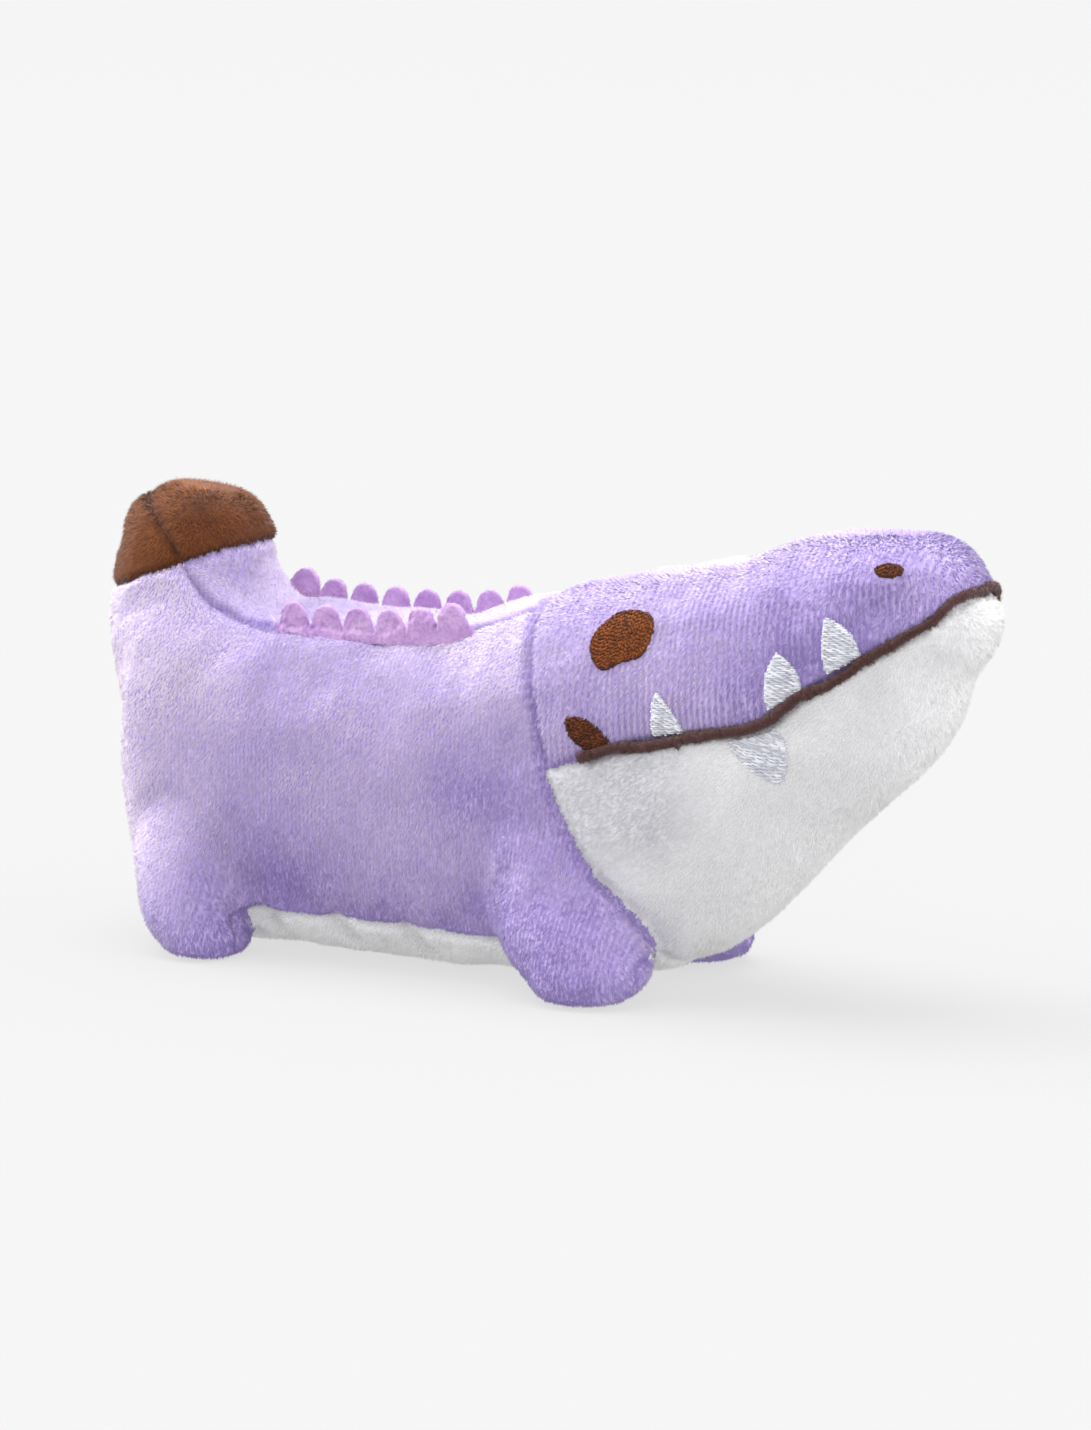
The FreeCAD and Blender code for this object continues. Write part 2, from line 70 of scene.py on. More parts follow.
# ---------------------------------------------------------------- what each cloth is
# The length and width of a fibre in mm, and fibres per square mm; the way the pile lies and how far
# it leans; the pitch of the knit's ribs in mm and how much they show; how patchy the brushing is; where
# its tint lies between dark, 0, and light, 1; and its painted light and shade: how much lighter, or, where
# negative, darker its tint is painted along each of the spans below, for how the light falls on the toy.
CLOTHS = {
    "lilac_pile": dict(length=0.82, width=0.24, density=9.0, lay=(-0.15, 0, -1), lean=1.15, rib=0.92,
                       ribbing=0.09, patches=0.28, base=0.40, dark="lilac_dark", light="lilac_light",
                       painted_light=dict(up=0.50, tail=0.62, foot=-0.30)),
    "lilac_knit": dict(length=0.78, width=0.24, density=9.5, lay=(-0.1, 0, -1), lean=1.05, rib=1.30,
                       ribbing=0.23, patches=0.22, base=0.35, dark="lilac_dark", light="lilac_light",
                       painted_light=dict(up=0.10, snout=-0.38)),
    "lilac_back": dict(length=0.82, width=0.24, density=9.0, lay=(-1, 0, -0.1), lean=1.10, rib=0.92,
                       ribbing=0.06, patches=0.22, base=0.50, dark="lilac_dark", light="lilac_light",
                       painted_light=dict(up=0.12, tail=0.15)),
    # The white pile is painted grey where it would lie in shade, and lighter towards the snout and the
    # bottom, as painted light.
    "white_pile": dict(length=0.90, width=0.21, density=10.0, lay=(-0.6, 0, -0.6), lean=0.7, rib=0.0,
                       ribbing=0.0, patches=0.07, base=0.12, dark="white_dark", light="white_light",
                       painted_light=dict(snout=2.20, low=1.60)),
    "brown_pile": dict(length=1.05, width=0.25, density=9.0, lay=(-0.3, 0, -1), lean=0.9, rib=0.0,
                       ribbing=0.0, patches=0.42, base=0.05, dark="brown_dark", light="brown_light",
                       painted_light=dict(tail=0.45)),
}
# Where a cloth's tint is painted lighter or darker, as painted light and shade: an axis, and where along
# it the change starts and ends, in mm.
PAINTED_LIGHT_SPANS = {"up": (2, 42, 78), "tail": (0, -54, -88), "snout": (0, 34, 72), "foot": (2, 24, 6),
         "low": (2, 34, 12)}
PANELS = {
    "side_panel_right": "lilac_pile", "side_panel_left": "lilac_pile",
    "leg_lining_front_right": "lilac_pile", "leg_lining_front_left": "lilac_pile",
    "leg_lining_rear_right": "lilac_pile", "leg_lining_rear_left": "lilac_pile",
    "back_panel": "lilac_back", "head_panel": "lilac_knit",
    "chin_panel": "white_pile", "belly_panel": "white_pile",
    "tail_tip_front": "brown_pile", "tail_tip_right": "brown_pile", "tail_tip_left": "brown_pile",
}
FIBRES = ["torso_fibre", "head_fibre", "tail_fibre", "leg_fibre_front_right",
          "leg_fibre_front_left", "leg_fibre_rear_right", "leg_fibre_rear_left"]
SIDES = [("right", -1), ("left", 1)]


def srgb(*levels):
    """A linear colour from 0-255 screen levels."""
    return tuple((x / 255 / 12.92 if x <= 10 else ((x / 255 + 0.055) / 1.055) ** 2.4) for x in levels)


COLOURS = {
    "lilac_dark": srgb(150, 130, 196), "lilac_light": srgb(236, 221, 242),
    "white_dark": srgb(207, 206, 212), "white_light": srgb(255, 255, 255),
    "brown_dark": srgb(68, 30, 11), "brown_light": srgb(160, 97, 55),
    "felt_dark": srgb(160, 118, 184), "felt_light": srgb(214, 180, 222),
    # the left strip's copy of the felt's colours, tinted apart from the right's as painted light
    "felt_left_dark": srgb(162, 120, 184), "felt_left_light": srgb(214, 178, 221),
    "thread_dark": srgb(56, 24, 6), "thread_mid": srgb(118, 58, 18),
    "thread_light": srgb(148, 76, 20),
    "tooth_dark": srgb(182, 184, 196), "tooth_light": srgb(240, 240, 246),
    "piping_dark": srgb(52, 30, 30), "piping_light": srgb(122, 84, 80),
    "sewing": srgb(222, 221, 228), "fibre_dark": srgb(216, 216, 214), "fibre_light": srgb(250, 250, 248),
}
TINTS = 6                   # steps from a dark to a light colour in fibres and threads


# ---------------------------------------------------------------- arrays and meshes
LATTICE = rng.random((32, 32, 32))


def cloud(points, size_mm, shift=0.0):
    """Smooth noise from -1 to 1 at each point, with features about size_mm across."""
    at = points / (size_mm * MM) + shift
    cell = np.floor(at).astype(int)
    part = at - cell
    part = part * part * (3 - 2 * part)
    total = np.zeros(len(points))
    for corner in np.ndindex(2, 2, 2):
        weight = np.prod(np.where(np.array(corner) == 1, part, 1 - part), axis=1)
        i, j, k = ((cell + corner) % len(LATTICE)).T
        total += weight * LATTICE[i, j, k]
    return total * 2 - 1


def unit(vectors):
    """The vectors at length 1."""
    return vectors / np.maximum(np.linalg.norm(vectors, axis=-1, keepdims=True), 1e-12)


def arrays(mesh, corners=None):
    """A mesh's vertices and its faces as arrays; triangles unless it is all faces of that many corners."""
    co = np.empty(len(mesh.vertices) * 3, np.float32)
    mesh.vertices.foreach_get("co", co)
    if corners:
        faces = np.empty(len(mesh.loops), np.int32)
        mesh.loops.foreach_get("vertex_index", faces)
    else:
        corners = 3
        mesh.calc_loop_triangles()
        faces = np.empty(len(mesh.loop_triangles) * 3, np.int32)
        mesh.loop_triangles.foreach_get("vertices", faces)
    return co.reshape(-1, 3).astype(float), faces.reshape(-1, corners)


def make(name, co, faces, materials=(), slots=None, normals=None):
    """A mesh object from arrays of vertices and faces, smooth, with a material index for each face."""
    mesh = bpy.data.meshes.new(name)
    mesh.vertices.add(len(co))
    mesh.vertices.foreach_set("co", np.asarray(co, np.float32).ravel())
    mesh.loops.add(faces.size)
    mesh.loops.foreach_set("vertex_index", np.asarray(faces, np.int32).ravel())
    mesh.polygons.add(len(faces))
    mesh.polygons.foreach_set("loop_start", np.arange(0, faces.size, faces.shape[1], dtype=np.int32))
    mesh.update(calc_edges=True)
    mesh.polygons.foreach_set("use_smooth", np.ones(len(faces), bool))
    for material in materials:
        mesh.materials.append(material)
    if slots is not None:
        mesh.polygons.foreach_set("material_index", np.asarray(slots, np.int32))
    if normals is not None:
        mesh.normals_split_custom_set_from_vertices(normals)
    obj = bpy.data.objects.new(name, mesh)
    scene.collection.objects.link(obj)
    return obj


def evaluated(obj):
    """A new mesh with the object's modifiers applied."""
    bpy.context.view_layer.update()
    return bpy.data.meshes.new_from_object(obj.evaluated_get(bpy.context.evaluated_depsgraph_get()))


def modified(co, faces, kind, **settings):
    """A surface after one modifier: its vertices and squares."""
    obj = make("work", co, faces)
    modifier = obj.modifiers.new("work", kind)
    for name, value in settings.items():
        setattr(modifier, name, value)
    made = arrays(evaluated(obj), 4)
    bpy.data.objects.remove(obj)
    return made


def remeshed(co, faces, voxel):
    """A closed surface of small even squares round the given one."""
    return modified(co, faces, "REMESH", mode="VOXEL", voxel_size=voxel)


def refined(co, faces):
    """The same surface with each face divided in sixteen, smoothly."""
    return modified(co, faces, "SUBSURF", levels=2, render_levels=2)


def merged(groups):
    """Several (vertices, faces) put together."""
    offsets = np.cumsum([0] + [len(co) for co, _ in groups[:-1]])
    return (np.concatenate([co for co, _ in groups]),
            np.concatenate([faces + start for (_, faces), start in zip(groups, offsets)]))


def edges_of(faces):
    """Each edge of the faces once, as two vertex numbers."""
    pairs = np.concatenate([np.stack([faces[:, i], faces[:, (i + 1) % faces.shape[1]]], 1)
                            for i in range(faces.shape[1])])
    return np.unique(np.sort(pairs, axis=1), axis=0)


def neighbour_mean(values, edges):
    """The mean of each vertex's neighbours."""
    count = len(values)
    degree = np.maximum(np.bincount(edges.ravel(), minlength=count), 1)
    columns = values.reshape(count, -1)
    total = [np.bincount(edges[:, 0], column[edges[:, 1]], count)
             + np.bincount(edges[:, 1], column[edges[:, 0]], count) for column in columns.T]
    return (np.stack(total, 1) / degree[:, None]).reshape(values.shape)


def smoothed(co, edges, rounds):
    """Smooths the steps out of a surface without shrinking it."""
    for _ in range(rounds):
        for step in (0.5, -0.52):
            co = co + step * (neighbour_mean(co, edges) - co)
    return co


def vertex_normals(co, faces):
    """The outward normal at each vertex."""
    a, b = co[faces[:, 2]] - co[faces[:, 0]], co[faces[:, -1]] - co[faces[:, 1]]
    face = np.cross(a, b)
    total = np.stack([sum(np.bincount(faces[:, k], face[:, axis], len(co))
                          for k in range(faces.shape[1])) for axis in range(3)], 1)
    return unit(total)


def islands(count, edges):
    """The number of the connected island that each vertex is in."""
    label = np.arange(count)
    while True:
        low = np.minimum(label[edges[:, 0]], label[edges[:, 1]])
        new = label.copy()
        np.minimum.at(new, edges[:, 0], low)
        np.minimum.at(new, edges[:, 1], low)
        new = new[new]
        if (new == label).all():
            return label
        label = new


def node_arrays(name):
    """A CAD node's vertices and triangles."""
    return arrays(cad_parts[name].data)


def tree_of(co, faces):
    """A search tree of a surface, for rays and nearest points."""
    return BVHTree.FromPolygons([tuple(p) for p in co.tolist()], [tuple(f) for f in faces.tolist()])


def distance_to(points, targets, reach):
    """How far each point is from the nearest target, at most reach."""
    tree = KDTree(len(targets))
    for i, p in enumerate(targets.tolist()):
        tree.insert(p, i)
    tree.balance()
    return np.minimum([tree.find(p)[2] for p in points.tolist()], reach)


# ---------------------------------------------------------------- materials
def mixed(low, high, share):
    """The colour that lies a share of the way from one to another."""
    return tuple(a + (b - a) * share for a, b in zip(low, high))


def principled(name, colour, roughness=0.85, sheen=0.3, specular=0.2):
    """A material with one plain Principled shader, and the shader."""
    material = bpy.data.materials.new(name)
    material.use_nodes = True
    shader = material.node_tree.nodes["Principled BSDF"]
    shader.inputs["Base Color"].default_value = (*colour, 1)
    shader.inputs["Roughness"].default_value = roughness
    shader.inputs["Specular IOR Level"].default_value = specular
    shader.inputs["Sheen Weight"].default_value = sheen
    shader.inputs["Sheen Roughness"].default_value = 0.45
    shader.inputs["Sheen Tint"].default_value = (1, 1, 1, 1)
    return material, shader


def tints(name, low, high, **finish):
    """A row of plain materials from one colour to another, for fibres and threads."""
    return [principled(f"{name}_{i}", mixed(COLOURS[low], COLOURS[high], i / (TINTS - 1)), **finish)[0]
            for i in range(TINTS)]


def cloth_material(name, low, high, patches_mm, grain_mm, rib_mm=0.0, reach=1.0, sheen=0.35):
    """Brushed cloth: patches and fine grain in its colour, and ribs and grain in its surface. Its
    colour runs from low as far as reach towards high."""
    material, shader = principled(name, COLOURS[low], sheen=sheen)
    tree = material.node_tree
    place = tree.nodes.new("ShaderNodeTexCoord").outputs["Object"]

    def noise(size_mm, detail):
        made = tree.nodes.new("ShaderNodeTexNoise")
        made.inputs["Scale"].default_value = 1 / (size_mm * MM)
        made.inputs["Detail"].default_value = detail
        tree.links.new(place, made.inputs["Vector"])
        return made.outputs["Fac"]

    def maths(kind, a, b):
        made = tree.nodes.new("ShaderNodeMath")
        made.operation = kind
        for socket, value in zip(made.inputs, (a, b)):
            if isinstance(value, float):
                socket.default_value = value
            else:
                tree.links.new(value, socket)
        return made.outputs[0]

    patch, grain = noise(patches_mm, 3), noise(grain_mm, 4)
    height = grain
    share = maths("ADD", maths("MULTIPLY", patch, 0.65), maths("MULTIPLY", grain, 0.35))
    if rib_mm:
        wave = tree.nodes.new("ShaderNodeTexWave")
        wave.bands_direction = "X"
        wave.inputs["Scale"].default_value = math.tau / 20 / (rib_mm * MM)    # bands tau / 20 apart at 1
        wave.inputs["Distortion"].default_value = 0.6
        wave.inputs["Detail"].default_value = 1
        tree.links.new(place, wave.inputs["Vector"])
        ribs = wave.outputs["Fac"]
        height = maths("ADD", maths("MULTIPLY", ribs, 0.7), maths("MULTIPLY", grain, 0.5))
        share = maths("ADD", maths("MULTIPLY", share, 0.8), maths("MULTIPLY", ribs, 0.2))
    ramp = tree.nodes.new("ShaderNodeValToRGB")
    first, last = ramp.color_ramp.elements
    first.position, last.position = 0.3, 0.72
    first.color = (*COLOURS[low], 1)
    last.color = (*mixed(COLOURS[low], COLOURS[high], reach), 1)
    tree.links.new(share, ramp.inputs["Fac"])
    tree.links.new(ramp.outputs["Color"], shader.inputs["Base Color"])
    rough = tree.nodes.new("ShaderNodeMapRange")
    rough.inputs["To Min"].default_value, rough.inputs["To Max"].default_value = 0.78, 0.97
    tree.links.new(grain, rough.inputs["Value"])
    tree.links.new(rough.outputs["Result"], shader.inputs["Roughness"])
    bump = tree.nodes.new("ShaderNodeBump")
    bump.inputs["Strength"].default_value = 0.55
    bump.inputs["Distance"].default_value = 0.25 * MM
    tree.links.new(height, bump.inputs["Height"])
    tree.links.new(bump.outputs["Normal"], shader.inputs["Normal"])
    return material


def place_piece(obj, slot, *nodes, fill=None):
    """What every piece of the toy has: its body and the CAD nodes it stands for, which it hides; the
    material slot given to it is not used.
    """
    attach(obj, "root")
    if nodes:
        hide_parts(*nodes)
    return obj


# ---------------------------------------------------------------- the sack, stuffed
SACK_VOXEL = 1.9 * MM
SOLE = 0.9 * MM             # the cloth lower than this rests on the floor
END_SMOOTHING = {"tail": (5 * MM, 8), "snout": (11 * MM, 22)}    # reach, and rounds
whole = merged([node_arrays(name) for name in list(PANELS) + FIBRES])
coarse, coarse_quads = remeshed(*whole, SACK_VOXEL)
coarse_edges = edges_of(coarse_quads)
island = islands(len(coarse), coarse_edges)
main = np.bincount(island).argmax()
renumber = np.cumsum(island == main) - 1
coarse_quads = renumber[coarse_quads[island[coarse_quads[:, 0]] == main]]
coarse = coarse[island == main]
coarse_edges = edges_of(coarse_quads)
coarse = smoothed(coarse, coarse_edges, 4)
ends = {"tail": coarse[np.where(coarse[:, 0] < CAD_BOX[0].x / 2, coarse[:, 2], 0).argmax()],
        "snout": coarse[coarse[:, 0].argmax()]}
for word, (reach, rounds) in END_SMOOTHING.items():
    share = 0.5 * np.exp(-((coarse - ends[word]) ** 2).sum(1) / reach ** 2)[:, None]
    for _ in range(rounds):
        coarse = coarse + share * (neighbour_mean(coarse, coarse_edges) - coarse)

panel_names = list(PANELS)
panel_parts = [node_arrays(name) for name in panel_names]
panel_owner = np.concatenate([np.full(len(faces), i) for i, (_, faces) in enumerate(panel_parts)])
panel_tree = tree_of(*merged(panel_parts))


def owners(points):
    """The number of the CAD panel nearest to each point."""
    return np.array([panel_owner[panel_tree.find_nearest(Vector(p))[2]] for p in points.tolist()])


def settled(faces, owner, rounds):
    """The owners again, each face given to the panel that most of the faces round it belong to."""
    for _ in range(rounds):
        votes = np.zeros((faces.max() + 1, len(panel_names)))
        for k in range(faces.shape[1]):
            np.add.at(votes, (faces[:, k], owner), 1)
        owner = votes[faces].sum(1).argmax(1)
    return owner


def seam_points(co, faces, owner):
    """The vertices that two panels share."""
    low, high = np.full(len(co), len(panel_names)), np.full(len(co), -1)
    for k in range(faces.shape[1]):
        np.minimum.at(low, faces[:, k], owner)
        np.maximum.at(high, faces[:, k], owner)
    return co[low != high]


STUFFING_FRAMES = 20
SWELL = 1.3 * MM            # the most that the stuffing may move the cloth
HOLD = 1.5 * MM             # how far from a seam it holds the cloth


def stuff(co, faces):
    """The sack after the fibre has been pushed in: it swells between the seams that hold it."""
    owner = owners(co[faces].mean(1))
    near = distance_to(co, seam_points(co, faces, owner), 6 * HOLD)
    hold = np.exp(-(near / HOLD) ** 2)
    hold[co[:, 2] < SOLE] = 1
    obj = make("sack", co, faces)
    group = obj.vertex_groups.new(name="sewn")
    for i, weight in enumerate(hold.tolist()):
        group.add([i], weight, "REPLACE")
    cloth = obj.modifiers.new("stuffing", "CLOTH")
    settings = cloth.settings
    settings.quality = 6
    settings.mass = 0.0004
    settings.tension_stiffness = settings.compression_stiffness = 12
    settings.shear_stiffness = 6
    settings.bending_stiffness = 0.02
    settings.use_pressure = True
    settings.uniform_pressure_force = 14
    settings.shrink_min = -0.04
    settings.vertex_group_mass = "sewn"
    settings.effector_weights.gravity = 0
    cloth.collision_settings.use_collision = False
    cloth.point_cache.frame_end = STUFFING_FRAMES
    for number in range(1, STUFFING_FRAMES + 1):
        scene.frame_set(number)
    swollen, _ = arrays(evaluated(obj), 4)
    scene.frame_set(1)
    bpy.data.objects.remove(obj)
    move = swollen - co
    edges = edges_of(faces)
    for _ in range(3):
        move = (move + neighbour_mean(move, edges)) / 2
    far = np.linalg.norm(move, axis=1, keepdims=True)
    return co + move * (SWELL * np.tanh(far / SWELL) / np.maximum(far, 1e-9))


swollen = stuff(coarse, coarse_quads)
rest, quads = refined(coarse, coarse_quads)
skin, _ = refined(swollen, coarse_quads)
owner = settled(quads, owners(rest[quads].mean(1)), 6)

# ---------------------------------------------------------------- seams, quilting and wrinkles
# in mm, where they aren't shares
SEAM_DEPTH, SEAM_WIDTH = 1.20, 0.95
CREASE_WIDTH = 1.1          # beside a seam, where the fibres are shorter and painted darker, as painted shade in the crease
QUILT_DEPTH, QUILT_WIDTH = 2.0, 2.0
PUCKER_HEIGHT, PUCKER_SIZE, PUCKER_REACH = 0.17, 3.8, 3.2
# each wave's height and size, where in the noise it starts, and what X is multiplied by
WAVES = [(0.42, 15, 0.0, 0.6), (0.13, 6, 5.3, 1.0), (0.05, 1.3, 9.1, 1.0)]
BROWN_SOFTNESS = 0.45       # the share of its seams and puckers that shows in the thick brown pile
PILE_ROOM = 0.62            # the share of its fibres' length that a cloth is set in by
CLOTH_INSET = 0.20          # and how much more
FLOOR_GAP = 0.35            # the skin's least height over the floor

seams = seam_points(rest, quads, owner)
seam_distance = distance_to(rest, seams, 12 * MM)
quilt_co, _ = node_arrays("belly_quilting_thread")
quilt_distance = distance_to(rest, quilt_co, 6 * MM)
normals = vertex_normals(skin, quads)
free = np.clip((skin[:, 2] - SOLE) / (2 * MM), 0, 1)


def at_vertices(panel_values):
    """A value for each panel, spread to the skin's vertices and averaged where panels meet."""
    values = np.array(panel_values)[owner]
    return np.bincount(quads.ravel(), np.repeat(values, 4)) / np.bincount(quads.ravel())


softness = at_vertices([BROWN_SOFTNESS if PANELS[name] == "brown_pile" else 1 for name in panel_names])
inset = at_vertices([PILE_ROOM * CLOTHS[PANELS[name]]["length"] + CLOTH_INSET for name in panel_names])
groove = SEAM_DEPTH * softness * np.exp(-(seam_distance / (SEAM_WIDTH * MM)) ** 2)
crease = np.exp(-(seam_distance / (CREASE_WIDTH * MM)) ** 2)
quilt = QUILT_DEPTH * np.exp(-(quilt_distance / (QUILT_WIDTH * MM)) ** 2)
pucker = (PUCKER_HEIGHT * softness * cloud(skin, PUCKER_SIZE)
          * np.exp(-seam_distance / (PUCKER_REACH * MM)))
waves = sum(height * cloud(skin * (squeeze, 1, 1), size, shift) for height, size, shift, squeeze in WAVES)
rise = (waves + pucker - groove - quilt) * MM * free - inset * MM
skin = skin + normals * rise[:, None]
skin[:, 2] = np.maximum(skin[:, 2], FLOOR_GAP * MM)
normals = vertex_normals(skin, quads)
skin_tree = tree_of(skin, quads)


RAY_START = 60 * MM         # further out than either side of the toy


def from_side(tree, x, z, side):
    """What a ray straight in from one side at X, Z hits before the toy's middle, and its normal."""
    start, inwards = Vector((x, side * RAY_START, z)), Vector((0, -side, 0))
    return tree.ray_cast(start, inwards, RAY_START)[:2]


def on_skin(x, z, side):
    """The skin's point and outward normal straight in from one side at X, Z."""
    hit, normal = from_side(skin_tree, x, z, side)
    if hit is None:
        return None
    return np.array(hit), np.array(normal if normal.y * side > 0 else -normal)


# ---------------------------------------------------------------- closed shells of cloth
def shell(co, faces, outward, thickness):
    """A patch of surface made into a closed sheet, with its own back and rim."""
    used, inverse = np.unique(faces, return_inverse=True)
    front = inverse.reshape(faces.shape)
    count = len(used)
    outer = co[used]
    inner = outer - outward[used] * thickness
    pairs = np.concatenate([np.stack([front[:, k], front[:, (k + 1) % 4]], 1) for k in range(4)])
    keys = np.sort(pairs, axis=1)
    _, first, times = np.unique(keys, axis=0, return_index=True, return_counts=True)
    rim = pairs[first[times == 1]]
    walls = np.stack([rim[:, 1], rim[:, 0], rim[:, 0] + count, rim[:, 1] + count], 1)
    return np.concatenate([outer, inner]), np.concatenate([front, front[:, ::-1] + count, walls])


CLOTH_THICKNESS = 1.0 * MM
CLOTH_PATCHES, CLOTH_GRAIN = 16, 1.1    # mm
UNDER_PILE = 0.4            # how far the cloth under the pile goes from dark towards light
for number, name in enumerate(panel_names):
    cloth = CLOTHS[PANELS[name]]
    co, faces = shell(skin, quads[owner == number], normals, CLOTH_THICKNESS)
    material = cloth_material(f"{name}_cloth", cloth["dark"], cloth["light"], CLOTH_PATCHES, CLOTH_GRAIN,
                              cloth["rib"], reach=UNDER_PILE)
    place_piece(make(name, co, faces, [material]), PANELS[name], name, fill=0.85)


# ---------------------------------------------------------------- pile
def spikes(roots, directions, lengths, widths):
    """Thin closed three-sided spikes: vertices and triangles."""
    count = len(roots)
    helper = np.where(np.abs(directions[:, [2]]) < 0.8, (0, 0, 1.0), (1.0, 0, 0))    # not along it
    across = unit(np.cross(directions, helper))
    other = np.cross(directions, across)
    turn = rng.random(count) * math.tau
    base = roots - directions * 0.15 * MM
    corners = []
    for k in range(3):
        angle = turn + k * math.tau / 3
        corners.append(base + (across * np.cos(angle)[:, None] + other * np.sin(angle)[:, None])
                       * (widths / 2)[:, None])
    tips = roots + directions * lengths[:, None]
    co = np.stack(corners + [tips], 1).reshape(-1, 3)
    start = np.arange(count)[:, None, None] * 4
    tris = np.array([[0, 2, 1], [0, 1, 3], [1, 2, 3], [2, 0, 3]])[None] + start
    return co, tris.reshape(-1, 3)


def rib_phase(points, outward, pitch_mm):
    """Height of the knit's ribs, -1 to 1. The ribs run up and down, and lean along the snout. They are
    counted along X on the sides and along Y on the rump and the tail's front."""
    x, y, z = points.T / MM
    lean = np.tan(np.radians(np.clip((x - 20) / 7, 0, 10)))
    drift = 0.22 * cloud(points, 7, 3.3)
    along = np.cos(math.tau * (x + lean * (z - 70) + drift) / pitch_mm)
    across = np.cos(math.tau * (y + drift) / pitch_mm)
    facing_ends = np.clip((np.abs(outward[:, 0]) - 0.60) / 0.20, 0, 1) * (x < 20)
    return along + (across - along) * facing_ends


# pile doesn't grow through these
masked = [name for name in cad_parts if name.startswith(("eye", "mouth_corner", "nostril",
                                                              "upper_teeth", "lower_tooth"))]
mask_tree = tree_of(*merged([node_arrays(name) for name in masked]))
mask_boxes = [tuple(np.array(corner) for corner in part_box(name)) for name in masked]


def clear_of_embroidery(points, outward):
    """False where a fibre would grow through the embroidery."""
    clear = np.ones(len(points), bool)
    near = np.zeros(len(points), bool)
    for low, high in mask_boxes:
        near |= ((points > low - 2 * MM) & (points < high + 2 * MM)).all(1)
    for i in np.flatnonzero(near):
        start = Vector(points[i] - outward[i] * 3 * MM)
        clear[i] = mask_tree.ray_cast(start, Vector(outward[i]), 6 * MM)[0] is None
    return clear


def areas(faces):
    """The area of each face of the skin."""
    corners = skin[faces]
    return np.linalg.norm(np.cross(corners[:, 2] - corners[:, 0], corners[:, 3] - corners[:, 1]),
                          axis=1) / 2


def scatter(faces, per_mm2):
    """Random points on faces of the skin, with the normals and how creased it is there."""
    index = np.repeat(np.arange(len(faces)), rng.poisson(areas(faces) / MM ** 2 * per_mm2))
    u, v = rng.random((2, len(index), 1))
    weights = [(1 - u) * (1 - v), u * (1 - v), u * v, (1 - u) * v]
    picked = faces[index]

    def blend(values):
        return sum(w * values[picked[:, k]] for k, w in enumerate(weights))

    return blend(skin), unit(blend(normals)), blend(crease[:, None])[:, 0]


FIBRE_GAP = 0.02 * MM       # the pile's least height over the floor


def grow(label, slot, cloth, faces):
    """The pile of one patch of a panel. Its fibres are shorter in the creases and are painted darker
    there, as painted shade, and cast no shadow, because so short a pile lets the light through."""
    points, outward, creased = scatter(faces, cloth["density"] * (1))
    keep = clear_of_embroidery(points, outward)
    points, outward, creased = points[keep], outward[keep], creased[keep]
    count = len(points)
    lay = np.array(cloth["lay"], float) + 0.25 * np.stack(
        [cloud(points, 9, s) for s in (1.7, 4.1, 8.3)], 1)
    lay = unit(lay - outward * (lay * outward).sum(1, keepdims=True))
    toward = unit(outward + lay * cloth["lean"] + rng.normal(0, 0.18, (count, 3)))
    toward = unit(toward + outward * np.maximum(0.35 - (toward * outward).sum(1, keepdims=True), 0))
    rib = rib_phase(points, outward, cloth["rib"]) if cloth["rib"] else np.zeros(count)
    lengths = (cloth["length"] * MM * (1 + 0.22 * rng.normal(0, 1, count).clip(-2, 2))
               * (1 + 0.14 * rib) * (1 - 0.45 * creased))
    widths = cloth["width"] * MM * rng.uniform(0.8, 1.2, count)
    # painted shade: the tint is darker in the creases beside the seams
    level = (cloth["base"] + cloth["patches"] * (cloud(points, 23, 2.2) + 0.45 * cloud(points, 7, 6.6))
             + cloth["ribbing"] * rib - 0.50 * creased + rng.normal(0, 0.07, count))
    # Painted light and shade: the tint is made lighter or darker along each of the cloth's spans.
    for way, amount in cloth["painted_light"].items():
        axis, start, end = PAINTED_LIGHT_SPANS[way]
        level += amount * np.clip((points[:, axis] / MM - start) / (end - start), 0, 1)
    slots = np.clip((level * TINTS).astype(int), 0, TINTS - 1)
    co, tris = spikes(points, toward, lengths, widths)
    co[:, 2] = np.maximum(co[:, 2], FIBRE_GAP)
    shading = unit(outward + 0.20 * toward + rng.normal(0, 0.06, (count, 3)))
    materials = tints(f"{label}_fibre", cloth["dark"], cloth["light"], sheen=0.15)
    obj = make(label, co, tris, materials, np.repeat(slots, 4), np.repeat(shading, 4, axis=0))
    obj.visible_shadow = False
    return place_piece(obj, slot)


PATCH_FIBRES = 42000        # about the most in one piece
for number, name in enumerate(panel_names):
    cloth, faces = CLOTHS[PANELS[name]], quads[owner == number]
    fibres = areas(faces).sum() / MM ** 2 * cloth["density"]
    along = np.argsort(skin[faces].mean(1)[:, 0])
    for count, patch in enumerate(np.array_split(along, math.ceil(fibres / PATCH_FIBRES)), 1):
        grow(f"{name}_nap_{count}", PANELS[name], cloth, faces[patch])


